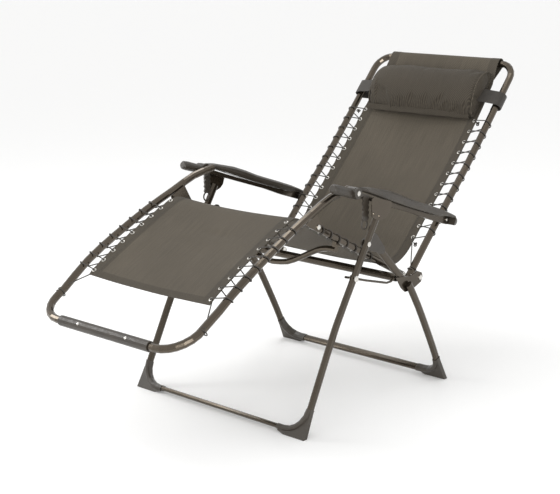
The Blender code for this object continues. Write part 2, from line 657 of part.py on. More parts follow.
def lace(name, sign, curve, first, pitch, count, hole_x, turn_r):
    """One elastic cord: out from a grommet, round the tube and back under to the next grommet."""
    route = []
    for k in range(count):
        start = first + pitch * k
        for up in (-0.0045, 0.0045):
            _, place, way = rail_point(curve, start)
            route.append(at(sign * hole_x, offset(place, way, 0.0, up)))
        for n in range(LACE_TURN_STEPS):
            turn = math.radians(135 - 270 * n / (LACE_TURN_STEPS - 1))
            rail_x, place, way = rail_point(curve, start + pitch * (0.10 + 0.42 * n / (LACE_TURN_STEPS - 1)))
            route.append(at(sign * (rail_x + turn_r * math.cos(turn)), offset(place, way, 0.0, turn_r * math.sin(turn))))
    sweep(name, route, ring(LACE_R, 4), ELASTIC, Vector((0, 1, 0)))


def side_curve(points, steps=4):
    return [(p.y + FRONT_FEET_TO_ORIGIN, p.z) for p in smooth_path([at(0.0, side) for side in points], steps)]


def spread_curve(points, steps=2):
    """(x, side) points along the smooth curve through (x, side) points."""
    return [(p.x, (p.y + FRONT_FEET_TO_ORIGIN, p.z))
            for p in smooth_path([at(x, side) for x, side in points], steps)]


def slings():
    sling("sling_leg", side_curve(LEG_EDGE, 3), 0.2185, 0.018)
    sling("sling_seat", side_curve(SEAT_EDGE, 3), 0.2030, 0.009)
    sling("sling_back", side_curve(BACK_EDGE, 3), 0.2085, 0.022)
    leg_curve = spread_curve(LEG_REST_RAIL[::-1])
    seat_curve = [(SEAT_TUBE_X, KNEE), (SEAT_TUBE_X, HIP)]
    back_curve = spread_curve([(BACK_X, side) for side in (*BACK_RAIL, BACK_TOP)])
    for name, sign in SIDES:
        lace(f"leg_lace_{name}", sign, leg_curve, 0.078, GROMMET_PITCH, 8, 0.2235, LACE_TURN_R)
        lace(f"seat_lace_{name}", sign, seat_curve, 0.0745, GROMMET_PITCH, 7, 0.2075, LACE_TURN_R - 0.001)
        lace(f"back_lace_{name}", sign, back_curve, 0.592, -GROMMET_PITCH, 12, 0.2145, LACE_TURN_R)


# ---- head pillow --------------------------------------------------------------------------------
def pillow():
    way = heading(BACK_RAIL[-1], BACK_TOP)
    start = offset(BACK_RAIL[-1], way, PILLOW_START, 0.0)
    maker = bmesh.new()
    stations = PILLOW_STATIONS
    rows = []
    for x, share in stations:
        row = []
        for forward, up in PILLOW_PROFILE:
            middle = PILLOW_LENGTH / 2
            place = offset(start, way, middle + (forward - middle) * share, 0.003 + (up - 0.003) * share)
            row.append(maker.verts.new(at(x, place)))
        rows.append(row)
    for first, second in zip(rows, rows[1:]):
        for k in range(len(PILLOW_PROFILE)):
            following = (k + 1) % len(PILLOW_PROFILE)
            maker.faces.new((first[k], first[following], second[following], second[k]))
    maker.faces.new(rows[0])
    maker.faces.new(list(reversed(rows[-1])))
    finish("head_pillow", maker, DARK_FABRIC)
    for name, sign in SIDES:
        pillow_strap(name, sign, start, way)


def pillow_strap(name, sign, start, way):
    """A flat elastic band from the pillow's end round the back tube."""
    middle, width, thick, reach = 0.0765, 0.048, 0.0014, 0.0178
    inner = [(0.2121, 0.0260), (0.230, 0.0235)]
    for k in range(7):
        turn = math.radians(90 - 30 * k)
        inner.append((BACK_X + reach * math.cos(turn), reach * math.sin(turn)))
    inner.append((0.240, -0.0178))
    outer = []
    for k, (x, up) in enumerate(inner):
        before, after = inner[max(k - 1, 0)], inner[min(k + 1, len(inner) - 1)]
        across = heading(before, after)
        outer.append((x - across[1] * thick, up + across[0] * thick))
    band = inner + outer[::-1]
    maker = bmesh.new()
    ends = []
    for forward in (middle - width / 2, middle + width / 2):
        ends.append([maker.verts.new(at(sign * x, offset(start, way, forward, up))) for x, up in band])
    near, far = ends
    for k in range(len(band)):
        following = (k + 1) % len(band)
        maker.faces.new((near[k], near[following], far[following], far[k]))
    maker.faces.new(near)
    maker.faces.new(list(reversed(far)))
    finish(f"pillow_strap_{name}", maker, ELASTIC, smooth=False)


front_leg()
rear_leg()
cross_bolts()
stay_rods()
leg_rest()
seat()
back()
for side_name, side_sign in SIDES:
    arm(side_name, side_sign)
slings()
pillow()
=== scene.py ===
"""Looks of the zero gravity recliner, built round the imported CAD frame.

Metres, +Z up, the sitter faces -Y and the sitter's left is +X. A "side" place is (y, z) seen from the
chair's left, with y counted from the front feet; at() puts it into the CAD frame.
"""

import math

import bmesh
import bpy
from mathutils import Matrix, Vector, noise


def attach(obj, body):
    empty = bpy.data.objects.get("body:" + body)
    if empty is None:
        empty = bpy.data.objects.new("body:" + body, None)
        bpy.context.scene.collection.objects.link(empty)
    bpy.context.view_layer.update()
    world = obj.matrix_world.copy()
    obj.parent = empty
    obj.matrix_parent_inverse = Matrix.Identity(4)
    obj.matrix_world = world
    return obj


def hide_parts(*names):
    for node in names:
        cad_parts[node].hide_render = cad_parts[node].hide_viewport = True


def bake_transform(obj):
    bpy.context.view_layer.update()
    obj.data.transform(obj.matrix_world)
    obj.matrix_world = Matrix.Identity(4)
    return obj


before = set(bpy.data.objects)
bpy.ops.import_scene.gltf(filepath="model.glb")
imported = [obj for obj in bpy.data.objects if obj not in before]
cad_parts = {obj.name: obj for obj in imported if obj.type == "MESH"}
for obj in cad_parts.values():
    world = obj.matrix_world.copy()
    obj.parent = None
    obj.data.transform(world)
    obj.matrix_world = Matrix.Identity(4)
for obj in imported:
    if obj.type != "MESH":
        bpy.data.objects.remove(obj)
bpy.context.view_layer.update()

# ---- places taken over from the CAD source ------------------------------------------------------
FRONT_FEET_TO_ORIGIN = 0.3495
SIDES = (("left", 1.0), ("right", -1.0))
TUBE_R, SEAT_TUBE_R = 0.011, 0.010
BACK_X, SEAT_TUBE_X = 0.268, 0.236
KNEE, HIP = (0.148, 0.551), (0.548, 0.343)
FOOT_BAR = (-0.4054, 0.3280)
LEG_REST_RAIL = ((0.2740, (-0.335, 0.3600)), (0.275, (-0.310, 0.3770)), (0.2770, (-0.220, 0.4415)),
                 (0.2745, (-0.120, 0.4965)), (0.2690, (0.0, 0.5550)), (0.264, (0.099, 0.5959)),
                 (0.2625, (0.181, 0.628)))
BACK_RAIL = ((0.5405, 0.3320), (0.695, 0.4925), (0.834, 0.6290), (0.9685, 0.7750), (1.104, 0.9250))
BACK_BEND, BACK_TOP = (0.9685, 0.7750), (1.104, 0.9250)
SLEEVE_R = 0.0145
SHARP_DEG = 50
WAVE_SCALE = 0.31416    # makes one band of the wave texture a metre wide
TOP_BAR_HALF = 0.2120

# ---- sling: (side place, half width, sag in the middle) from the foot end up to the top bar -------
SLING = (((-0.256, 0.4150), 0.2320, 0.010), ((-0.2200, 0.4400), 0.2325, 0.013),
         ((-0.1390, 0.4860), 0.2325, 0.017), ((-0.0640, 0.5235), 0.2325, 0.018),
         ((0.010, 0.5590), 0.2315, 0.016), ((0.066, 0.5810), 0.2285, 0.010),
         ((0.100, 0.5770), 0.2230, 0.006), ((0.132, 0.5560), 0.2190, 0.004),
         ((0.185, 0.5310), 0.2185, 0.006), ((0.300, 0.4700), 0.2185, 0.0085),
         ((0.420, 0.4070), 0.2185, 0.0085), ((0.485, 0.3790), 0.2180, 0.006),
         ((0.545, 0.3690), 0.2185, 0.005), ((0.598, 0.3925), 0.2210, 0.009),
         ((0.640, 0.4360), 0.2240, 0.013), ((0.695, 0.4925), 0.2245, 0.017),
         ((0.834, 0.6290), 0.2245, 0.022), ((0.9685, 0.7750), 0.2235, 0.018),
         ((1.040, 0.8580), 0.2210, 0.009))
SLING_THICK = 0.0016
SLING_CELL = 0.0070
SLING_COLUMNS = 66
MID_SEAT_Y = 0.300
HEM_WIDE, FOOT_HEM = 0.032, 0.018
HEM_RAISE = 0.0007
OVER_BAR_LENGTH = 0.20
OVER_BAR_STEPS = 36
THREAD_PITCH, THREAD_LENGTH, THREAD_HALF, THREAD_RAISE = 0.0046, 0.0032, 0.0005, 0.0006
GROMMET_PITCH = 0.041
GROMMET_INSET = 0.0085
GROMMET_SIDES = 18
GROMMET_PROFILE = ((0.0030, 0.0016), (0.0034, 0.0026), (0.0046, 0.0030), (0.0060, 0.0023), (0.0063, 0.0010),
                   (0.0063, -0.0010), (0.0060, -0.0023), (0.0046, -0.0030), (0.0034, -0.0026),
                   (0.0030, -0.0016))
LACE_R = 0.0017
LACE_CLEARS = 0.0004
KNOT_SIZE, KNOT_STEPS = 0.0021, 40
LEG_TIE, BACK_TIE = (-0.325, 0.3665), (0.566, 0.359)
RIVET_X, RIVET_LIFT, RIVET_R, RIVET_HIGH, RIVET_SLOPE_DEG = 0.0922, 0.0143, 0.0042, 0.0022, 50

PILLOW_HALF = 0.2110
PILLOW_END_INSET, PILLOW_END_BULGE = 0.004, 0.006
PILLOW_BACK_UP = 0.004
PILLOW_CLEARS = 0.0030
PILLOW_VOXEL = 0.0048
PILLOW_FRAMES = 22
PILLOW_PRESSURE, PILLOW_SHRINK = 3.0, -0.045
PILLOW_MOST_STEP = 0.0060
PIPING_R = 0.0021

# ---- camera and lights --------------------------------------------------------------------------
CAMERA_AT = (2.40819, -2.79444, 1.29505)
CAMERA_TILT_DEG, CAMERA_TURN_DEG = 76.6688, 41.5376
CAMERA_LENS, CAMERA_SENSOR, CAMERA_SEES = 81.82, 36.0, 100.0
# name, place, what it points at, width, power, height
LIGHTS = (("key", (2.9, -3.0, 1.0), (0, 0, 0.5), 1.3, 60, 1.3),
          ("left_box", (-2.4, -1.6, 1.8), (0, 0, 0.5), 0.5, 30, 2.2),
          ("top_box", (-0.8, 0.6, 3.0), (0, 0, 0.4), 0.5, 16, 2.6))
WORLD_STRENGTH = 0.95
FLOOR_REACH, FLOOR_Z, FLOOR_GLOW = 30.0, -0.0006, 0.06


# ---- geometry helpers ---------------------------------------------------------------------------
def at(x, side):
    """The point of the CAD frame at x and a side place."""
    return Vector((x, side[0] - FRONT_FEET_TO_ORIGIN, side[1]))


def heading(a, b):
    """The unit direction from one side place to another."""
    length = math.hypot(b[0] - a[0], b[1] - a[1])
    return ((b[0] - a[0]) / length, (b[1] - a[1]) / length)


def offset(origin, way, forward, up):
    """The side place forward along a direction and up square to it."""
    return (origin[0] + way[0] * forward - way[1] * up, origin[1] + way[1] * forward + way[0] * up)


def mixed(a, b, t):
    """The side place at share t of the way from a to b."""
    return a[0] + (b[0] - a[0]) * t, a[1] + (b[1] - a[1]) * t


def eased_between(rows, t):
    """Catmull-Rom: the row of numbers at t between the second and third of four rows."""
    return [0.5 * (2 * q + (r - p) * t + (2 * p - 5 * q + 4 * r - s) * t ** 2
                   + (3 * q - p - 3 * r + s) * t ** 3) for p, q, r, s in zip(*rows)]


def spline(rows, steps):
    """A Catmull-Rom curve through rows of numbers."""
    rows = [list(r) for r in rows]
    ends = [[2 * a - b for a, b in zip(rows[0], rows[1])], [2 * a - b for a, b in zip(rows[-1], rows[-2])]]
    padded = [ends[0], *rows, ends[1]]
    path = []
    for four in zip(padded, padded[1:], padded[2:], padded[3:]):
        path += [eased_between(four, k / steps) for k in range(steps)]
    return path + [rows[-1]]


class Run:
    """A curve of rows (side y, side z, ...more numbers) that can be asked by length along it."""

    def __init__(self, rows):
        self.rows = rows
        self.s = [0.0]
        for a, b in zip(rows, rows[1:]):
            self.s.append(self.s[-1] + math.hypot(b[0] - a[0], b[1] - a[1]))
        self.length = self.s[-1]

    def _span(self, s):
        s = min(max(s, 0.0), self.length)
        low, high = 0, len(self.s) - 2
        while low < high:
            middle = (low + high + 1) // 2
            if self.s[middle] <= s:
                low = middle
            else:
                high = middle - 1
        return low, (s - self.s[low]) / max(self.s[low + 1] - self.s[low], 1e-9)

    def row(self, s):
        k, t = self._span(s)
        return [a + (b - a) * t for a, b in zip(self.rows[k], self.rows[k + 1])]

    def way(self, s, reach=0.004):
        a, b = self.row(s - reach), self.row(s + reach)
        return heading(a, b)

    def at_y(self, y):
        """The length at which the curve first passes side y."""
        for k, (a, b) in enumerate(zip(self.rows, self.rows[1:])):
            if a[0] <= y <= b[0]:
                return self.s[k] + (self.s[k + 1] - self.s[k]) * (y - a[0]) / max(b[0] - a[0], 1e-9)
        return self.length


def link(mesh, name, made_of):
    for each in made_of:
        mesh.materials.append(each)
    made = bpy.data.objects.new(name, mesh)
    bpy.context.scene.collection.objects.link(made)
    return made


def mesh_piece(name, points, faces, made_of, uvs=None, slots=None):
    mesh = bpy.data.meshes.new(name)
    mesh.from_pydata([tuple(p) for p in points], [], faces)
    if uvs:
        layer = mesh.uv_layers.new(name="UVMap")
        for loop in mesh.loops:
            layer.data[loop.index].uv = uvs[loop.vertex_index]
    if slots:
        for polygon, slot in zip(mesh.polygons, slots):
            polygon.material_index = slot
    mesh.shade_smooth()
    mesh.set_sharp_from_angle(angle=math.radians(SHARP_DEG))
    mesh.update()
    return link(mesh, name, made_of if isinstance(made_of, (list, tuple)) else [made_of])


def ring_faces(rings, sides, closed=False):
    """Quads between rings of points that follow each other, joined round to the first ring if closed."""
    faces = []
    for k in range(rings if closed else rings - 1):
        a, b = k * sides, ((k + 1) % rings) * sides
        for n in range(sides):
            m = (n + 1) % sides
            faces.append((a + n, a + m, b + m, b + n))
    return faces


def frames_along(path, side_axis):
    """Each point of the path with two directions square to it, which turn as little as they can."""
    frames = []
    normal = side_axis
    for k, point in enumerate(path):
        tangent = (path[min(k + 1, len(path) - 1)] - path[max(k - 1, 0)]).normalized()
        normal = normal - tangent * normal.dot(tangent)
        normal = normal.normalized() if normal.length > 1e-4 else tangent.orthogonal().normalized()
        frames.append((point, normal, tangent.cross(normal)))
    return frames


def tube(name, path, radius, made_of, sides, side_axis, closed=False):
    """A round tube along the points, with closed ends or joined into a ring."""
    points = []
    for point, u, v in frames_along(path, side_axis):
        for n in range(sides):
            turn = 2 * math.pi * n / sides
            points.append(point + u * (radius * math.cos(turn)) + v * (radius * math.sin(turn)))
    count = len(path)
    faces = ring_faces(count, sides, closed)
    if not closed:
        faces.append(tuple(range(sides))[::-1])
        faces.append(tuple(range((count - 1) * sides, count * sides)))
    return mesh_piece(name, points, faces, made_of)


# ---- materials ----------------------------------------------------------------------------------
class Shader:
    """A Principled material with a few helpers for its procedural inputs."""

    def __init__(self, name, colour, roughness, metallic=0.0, coat=0.0, sheen=0.0, specular=0.5, alpha=1.0):
        self.made = bpy.data.materials.new(name)
        self.made.use_nodes = True
        self.nodes, self.links = self.made.node_tree.nodes, self.made.node_tree.links
        self.main = self.nodes["Principled BSDF"]
        self.set("Base Color", (*colour, 1.0))
        self.set("Roughness", roughness)
        self.set("Metallic", metallic)
        self.set("Coat Weight", coat)
        self.set("Coat Roughness", 0.12)
        self.set("Sheen Weight", sheen)
        self.set("Sheen Roughness", 0.5)
        self.set("Specular IOR Level", specular)
        self.set("Alpha", alpha)
        self.made.diffuse_color = (*colour, 1.0)

    def set(self, socket, value):
        self.main.inputs[socket].default_value = value

    def add(self, kind, **values):
        made = self.nodes.new(kind)
        for key, value in values.items():
            if key in made.inputs:
                made.inputs[key].default_value = value
            else:
                setattr(made, key, value)
        return made

    def join(self, a, b):
        self.links.new(a, b)

    def coordinates(self, scale, source, turn=0.0):
        place = self.add("ShaderNodeTexCoord")
        mapping = self.add("ShaderNodeMapping")
        mapping.inputs["Scale"].default_value = scale
        mapping.inputs["Rotation"].default_value = (0.0, 0.0, turn)
        self.join(place.outputs[source], mapping.inputs["Vector"])
        return mapping.outputs["Vector"]

    def noise(self, scale, source="Object", detail=3.0):
        made = self.add("ShaderNodeTexNoise", Scale=1.0, Detail=detail)
        self.join(self.coordinates(scale, source), made.inputs["Vector"])
        return made.outputs["Fac"]

    def bands(self, period, source, turn=0.0):
        """Straight soft stripes, one in each period."""
        made = self.add("ShaderNodeTexWave", Scale=WAVE_SCALE / period)
        self.join(self.coordinates((1, 1, 1), source, turn), made.inputs["Vector"])
        return made.outputs["Fac"]

    def math(self, operation, a, b):
        made = self.add("ShaderNodeMath", operation=operation)
        for socket, value in zip(made.inputs, (a, b)):
            if isinstance(value, (int, float)):
                socket.default_value = value
            else:
                self.join(value, socket)
        return made.outputs[0]

    def vary(self, fac, low, high, into="Base Color"):
        """Colour or roughness from low to high as fac goes from 0.3 to 0.7."""
        made = self.add("ShaderNodeValToRGB")
        made.color_ramp.elements[0].position, made.color_ramp.elements[1].position = 0.3, 0.7
        for element, value in zip(made.color_ramp.elements, (low, high)):
            element.color = (value, value, value, 1) if isinstance(value, float) else (*value, 1)
        self.join(fac, made.inputs["Fac"])
        if into:
            self.join(made.outputs["Color"], self.main.inputs[into])
        return made.outputs["Color"]

    def multiply(self, colour, fac, low, high):
        """The colour socket times a grey that runs from low to high with fac."""
        grey = self.vary(fac, low, high, into=None)
        made = self.add("ShaderNodeMix", data_type="RGBA", blend_type="MULTIPLY")
        made.inputs[0].default_value = 1.0
        self.join(colour, made.inputs[6])
        self.join(grey, made.inputs[7])
        self.join(made.outputs[2], self.main.inputs["Base Color"])
        return made.outputs[2]

    def bump(self, height, distance, strength):
        """Relief added to whatever relief is there already."""
        made = self.add("ShaderNodeBump", Distance=distance, Strength=strength)
        self.join(height, made.inputs["Height"])
        previous = self.main.inputs["Normal"]
        if previous.is_linked:
            self.join(previous.links[0].from_socket, made.inputs["Normal"])
        self.join(made.outputs["Normal"], previous)


def scaled(colour, share):
    return tuple(c * share for c in colour)


def paint(name, colour, roughness=0.16):
    s = Shader(name, colour, roughness, metallic=0.9, coat=0.25)
    s.vary(s.noise((9, 9, 9), detail=2), scaled(colour, 0.90), scaled(colour, 1.10))
    s.vary(s.noise((14, 14, 14), detail=3), roughness - 0.03, roughness + 0.05, "Roughness")
    s.bump(s.noise((300, 300, 300), detail=2), 0.00003, 0.4)
    return s.made


def plastic(name, colour, roughness):
    s = Shader(name, colour, roughness, specular=0.5)
    s.vary(s.noise((14, 14, 14), detail=3), scaled(colour, 0.82), scaled(colour, 1.2))
    s.vary(s.noise((90, 90, 90), detail=3), roughness - 0.07, roughness + 0.12, "Roughness")
    s.bump(s.noise((900, 900, 900), detail=3), 0.0002, 0.6)
    return s.made


def metal(name, colour, roughness=0.22):
    s = Shader(name, colour, roughness, 1.0)
    s.vary(s.noise((200, 200, 200), detail=3), roughness - 0.06, roughness + 0.12, "Roughness")
    s.bump(s.noise((700, 700, 700), detail=2), 0.0001, 0.4)
    return s.made


def cloth(name, colour, twill=0.0044, twill_turn=math.pi / 4, streak=0.10, see_through=1.0, source="UV"):
    """Woven synthetic: a fine square weave, a diagonal twill and long faint streaks."""
    s = Shader(name, colour, 0.74, sheen=0.03, specular=0.22, alpha=see_through)
    base = s.vary(s.noise((5, 5, 5), source, 2), scaled(colour, 0.92), scaled(colour, 1.08))
    base = s.multiply(base, s.noise((230, 9, 9), source, 3), 1 - streak, 1 + streak)
    base = s.multiply(base, s.bands(twill, source, twill_turn), 0.66, 1.26)
    warp, weft = s.bands(0.0022, source), s.bands(0.0022, source, math.pi / 2)
    weave = s.math("MULTIPLY", warp, weft)
    s.multiply(base, weave, 0.90, 1.06)
    s.bump(weave, 0.0005, 0.5)
    s.bump(s.bands(twill, source, twill_turn), 0.0008, 0.6)
    return s.made


def webbing(name, colour):
    s = Shader(name, colour, 0.62, sheen=0.15, specular=0.35)
    base = s.vary(s.noise((40, 40, 40)), scaled(colour, 0.85), scaled(colour, 1.15))
    ribs = s.bands(0.0024, "Object", math.pi / 2)
    s.multiply(base, ribs, 0.72, 1.1)
    s.bump(ribs, 0.0006, 0.6)
    return s.made


def elastic(name, colour):
    s = Shader(name, colour, 0.6, sheen=0.1, specular=0.4)
    base = s.vary(s.noise((300, 300, 300), detail=3), scaled(colour, 0.7), scaled(colour, 1.3))
    braid = s.bands(0.0016, "Object", 0.7)
    s.multiply(base, braid, 0.75, 1.15)
    s.bump(braid, 0.0003, 0.6)
    return s.made


BRONZE = (0.090, 0.073, 0.054)
TAUPE = (0.098, 0.083, 0.062)
FRAME = paint("tube_paint", BRONZE)
LEGS = paint("oval_tube_paint", scaled(BRONZE, 0.85), 0.22)
STEEL = metal("bright_rivet", (0.72, 0.70, 0.66))
PLASTIC = plastic("dark_moulding", (0.040, 0.033, 0.025), 0.36)
SLING_CLOTH = cloth("sling_cloth", TAUPE, see_through=0.975)
HEM_CLOTH = cloth("sling_hem", scaled(TAUPE, 0.72), streak=0.06)
PILLOW_CLOTH = cloth("pillow_cloth", (0.060, 0.050, 0.037), 0.0048, math.pi / 4, 0.08)
PIPING = cloth("pillow_piping", (0.085, 0.072, 0.054), 0.0030, 0.8, 0.05, source="Object")
THREAD = elastic("sewing_thread", (0.030, 0.026, 0.021))
STRAP = webbing("strap_webbing", (0.034, 0.029, 0.023))
CORD = elastic("lacing_cord", (0.040, 0.034, 0.027))
GROMMET = metal("grommet_metal", (0.55, 0.53, 0.49), 0.28)

SLOT_LOOKS = {"frame_paint": FRAME, "leg_paint": LEGS, "bright_steel": STEEL, "dark_plastic": PLASTIC,
              "sling_fabric": SLING_CLOTH, "pillow_fabric": PILLOW_CLOTH, "elastic_cord": CORD}
for node_name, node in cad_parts.items():
    for place in node.material_slots:
        for slot_name, look in SLOT_LOOKS.items():
            if place.material and place.material.name.split(".")[0] == slot_name:
                place.material = look
    if node_name.startswith("pillow_strap"):
        for place in node.material_slots:
            place.material = STRAP


# ---- sling --------------------------------------------------------------------------------------
FABRIC = Run(spline([(*place, half, sag) for place, half, sag in SLING], 10))
S_KNEE = FABRIC.at_y(0.100)
S_MID = FABRIC.at_y(MID_SEAT_Y)
LEG_HOLES = [FABRIC.at_y(-0.2426) + GROMMET_PITCH * k for k in range(9)]
SEAT_HOLES = [FABRIC.at_y(0.165) + GROMMET_PITCH * k for k in range(8)]
BACK_HOLES = [FABRIC.at_y(0.9524) - GROMMET_PITCH * k for k in range(12)]
HOLES = sorted(LEG_HOLES + SEAT_HOLES + BACK_HOLES)


def near_hole(s):
    """1 at a grommet, down to 0 halfway to the next."""
    gap = min(abs(s - h) for h in HOLES)
    return max(0.0, 1.0 - gap / (GROMMET_PITCH / 2))


def sling_place(s, u, lift=0.0):
    """The point of the sling at length s, u from -1 to 1 across, lifted square to the cloth."""
    y, z, half, sag = FABRIC.row(s)
    pull = near_hole(s)
    half += 0.0016 * (pull - 0.5)
    edge = half * (1 - abs(u))
    drop = sag * (1 - u * u)
    ripple = 0.0010 * (pull - 0.5) * math.exp(-edge / 0.030) + cloth_waves(s, u * half)
    return at(u * half, offset((y, z), FABRIC.way(s, 0.009), 0.0, lift - drop + ripple))


def cloth_waves(s, x):
    """Slack in the cloth, a little lower across the upper middle of the leg part."""
    soft = 0.0014 * noise.noise(Vector((x * 7.0, s * 5.0, 1.3)))
    crease_s = S_KNEE - 0.135
    crease = -0.0030 * math.exp(-((s - crease_s) / 0.016) ** 2) * math.exp(-((x - 0.035) / 0.085) ** 2)
    return soft + crease


def over_bar(share):
    """The side place of the cloth's top run: up over the top bar and down behind it, share 0 to 1."""
    way = heading(BACK_BEND, BACK_TOP)
    radius = SLEEVE_R + SLING_THICK / 2 + 0.0004
    if share < 0.30:
        t = share / 0.30
        start = offset(BACK_TOP, way, -0.0927, 0.0)
        end = offset(BACK_TOP, way, -0.004, radius)
        return mixed(start, end, t)
    if share < 0.72:
        turn = math.radians(100 - 200 * (share - 0.30) / 0.42)
        return offset(BACK_TOP, way, radius * math.cos(turn), radius * math.sin(turn))
    t = (share - 0.72) / 0.28
    turn = math.radians(-100)
    start = offset(BACK_TOP, way, radius * math.cos(turn), radius * math.sin(turn))
    end = offset(BACK_TOP, way, -0.060, -0.0042)
    return mixed(start, end, t)


def slab(name, rows, looks):
    """A closed thin cloth. rows holds (upper points, lower points, v length, hem?) from end to end."""
    columns = len(rows[0][0])
    points, uvs, faces, slots = [], [], [], []
    for layer in (0, 1):
        for upper, lower, along, _ in rows:
            for c, p in enumerate((upper, lower)[layer]):
                points.append(p)
                uvs.append((p.x, along))
    count = len(rows)

    def index(layer, k, c):
        return layer * count * columns + k * columns + c

    for k in range(count - 1):
        end_hem = rows[k][3] or rows[k + 1][3]
        for c in range(columns - 1):
            half = abs(rows[k][0][0].x)
            middle_x = abs((rows[k][0][c].x + rows[k][0][c + 1].x) / 2)
            is_hem = 1 if end_hem or half - middle_x < HEM_WIDE else 0
            faces.append((index(0, k, c), index(0, k, c + 1), index(0, k + 1, c + 1), index(0, k + 1, c)))
            faces.append((index(1, k, c), index(1, k + 1, c), index(1, k + 1, c + 1), index(1, k, c + 1)))
            slots += [is_hem, is_hem]
        faces.append((index(0, k, 0), index(0, k + 1, 0), index(1, k + 1, 0), index(1, k, 0)))
        last = columns - 1
        faces.append((index(0, k, last), index(1, k, last), index(1, k + 1, last), index(0, k + 1, last)))
        slots += [1, 1]
    for k, flip in ((0, False), (count - 1, True)):
        for c in range(columns - 1):
            quad = (index(0, k, c), index(1, k, c), index(1, k, c + 1), index(0, k, c + 1))
            faces.append(quad[::-1] if flip else quad)
            slots.append(1)
    return mesh_piece(name, points, faces, looks, uvs, slots)


def hem_lift(edge, end_gap):
    """How much thicker the cloth is on its folded hem."""
    near = min(edge / HEM_WIDE, end_gap / 0.022)
    return HEM_RAISE * min(1.0, max(0.0, (1.04 - near) * 12))


def column_places():
    """u across the sling, evenly spaced from -1 to 1."""
    return [2 * c / SLING_COLUMNS - 1 for c in range(SLING_COLUMNS + 1)]


def sling_row(s, end_gap=1.0, hem=False):
    half = FABRIC.row(s)[2]
    upper, lower = [], []
    for u in column_places():
        extra = hem_lift(half * (1 - abs(u)), end_gap)
        upper.append(sling_place(s, u, SLING_THICK / 2 + extra))
        lower.append(sling_place(s, u, -SLING_THICK / 2 - extra))
    return upper, lower, s, hem


def sling_front():
    steps = round(S_MID / SLING_CELL)
    rows = []
    for k in range(steps + 1):
        s = S_MID * k / steps
        rows.append(sling_row(s, s, s < FOOT_HEM))
    return slab("sling_leg_and_seat_front", rows, [SLING_CLOTH, HEM_CLOTH])


def sling_rear():
    s_end = FABRIC.length
    steps = round((s_end - S_MID) / SLING_CELL)
    rows = [sling_row(S_MID + (s_end - S_MID) * k / steps) for k in range(steps + 1)]
    half, sag = FABRIC.row(s_end)[2:]
    way = heading(BACK_BEND, BACK_TOP)
    for k in range(1, OVER_BAR_STEPS + 1):
        share = k / OVER_BAR_STEPS
        place = over_bar(share)
        turn = heading(over_bar(share - 0.01), over_bar(min(share + 0.01, 1.0)))
        flat = sag * (1 - min(share / 0.28, 1.0)) ** 2
        width = half + (TOP_BAR_HALF - half) * min(share / 0.25, 1.0)
        upper, lower = [], []
        for u in column_places():
            extra = hem_lift(width * (1 - abs(u)), 1.0)
            slack = 0.0012 * noise.noise(Vector((u * 9.0, share * 2.0, 4.2))) * (share < 0.3)
            drop = flat * (1 - u * u) + slack
            upper.append(at(u * width, offset(place, turn, 0.0, SLING_THICK / 2 + extra - drop)))
            lower.append(at(u * width, offset(place, turn, 0.0, -SLING_THICK / 2 - drop)))
        rows.append((upper, lower, s_end + OVER_BAR_LENGTH * share, share > 0.90))
    return slab("sling_seat_rear_and_back", rows, [SLING_CLOTH, HEM_CLOTH])


front_sling, rear_sling = sling_front(), sling_rear()


def stitches(name, s_from, s_to):
    """Two rows of thread along each hem."""
    points, faces = [], []
    s = s_from + 0.004
    while s < s_to - 0.004:
        half = FABRIC.row(s)[2]
        for inset in (HEM_WIDE - 0.0035, HEM_WIDE - 0.0075):
            for sign in (-1, 1):
                u = sign * (1 - inset / half)
                width = THREAD_HALF / half
                base = len(points)
                for ds, du, up in ((0, -width, 0), (0, width, 0), (THREAD_LENGTH, width, 0),
                                   (THREAD_LENGTH, -width, 0), (THREAD_LENGTH / 2, 0, THREAD_RAISE)):
                    points.append(sling_place(s + ds, u + du, SLING_THICK / 2 + HEM_RAISE * 0.9 + up))
                for a, b in ((0, 1), (1, 2), (2, 3), (3, 0)):
                    faces.append((base + a, base + b, base + 4))
        s += THREAD_PITCH
    return mesh_piece(name, points, faces, THREAD)


def grommet_ring(s, sign):
    """Points and faces of one metal eyelet with its flange on both sides of the cloth."""
    half = FABRIC.row(s)[2] + 0.0008
    u = sign * (1 - GROMMET_INSET / half)
    centre = sling_place(s, u)
    along = (sling_place(s + 0.003, u) - sling_place(s - 0.003, u)).normalized()
    across = (sling_place(s, u + 0.02) - sling_place(s, u - 0.02)).normalized()
    up = across.cross(along)
    across = along.cross(up)
    points = []
    for r, h in GROMMET_PROFILE:
        for n in range(GROMMET_SIDES):
            turn = 2 * math.pi * n / GROMMET_SIDES
            points.append(centre + along * (r * math.cos(turn)) + across * (r * math.sin(turn)) + up * h)
    return points, ring_faces(len(GROMMET_PROFILE), GROMMET_SIDES, closed=True)


def grommets(name, holes):
    points, faces = [], []
    for s in holes:
        for _, sign in SIDES:
            some, quads = grommet_ring(s, sign)
            base = len(points)
            points += some
            faces += [tuple(base + i for i in quad) for quad in quads]
    return mesh_piece(name, points, faces, GROMMET)


front_bits = [stitches("hem_stitches_front", 0.0, S_MID),
              grommets("grommets_front", [h for h in HOLES if h < S_MID])]
rear_bits = [stitches("hem_stitches_rear", S_MID, FABRIC.length),
             grommets("grommets_rear", [h for h in HOLES if h >= S_MID])]
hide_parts("sling_leg")
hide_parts("sling_seat", "sling_back", "top_sleeve")
for piece in (front_sling, *front_bits):
    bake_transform(piece)
for piece in (rear_sling, *rear_bits):
    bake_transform(piece)


# ---- lacing -------------------------------------------------------------------------------------
def rail_run(points):
    """A Run along a tube: rows are side y, side z and x."""
    return Run(spline([(side[0], side[1], x) for x, side in points], 8))


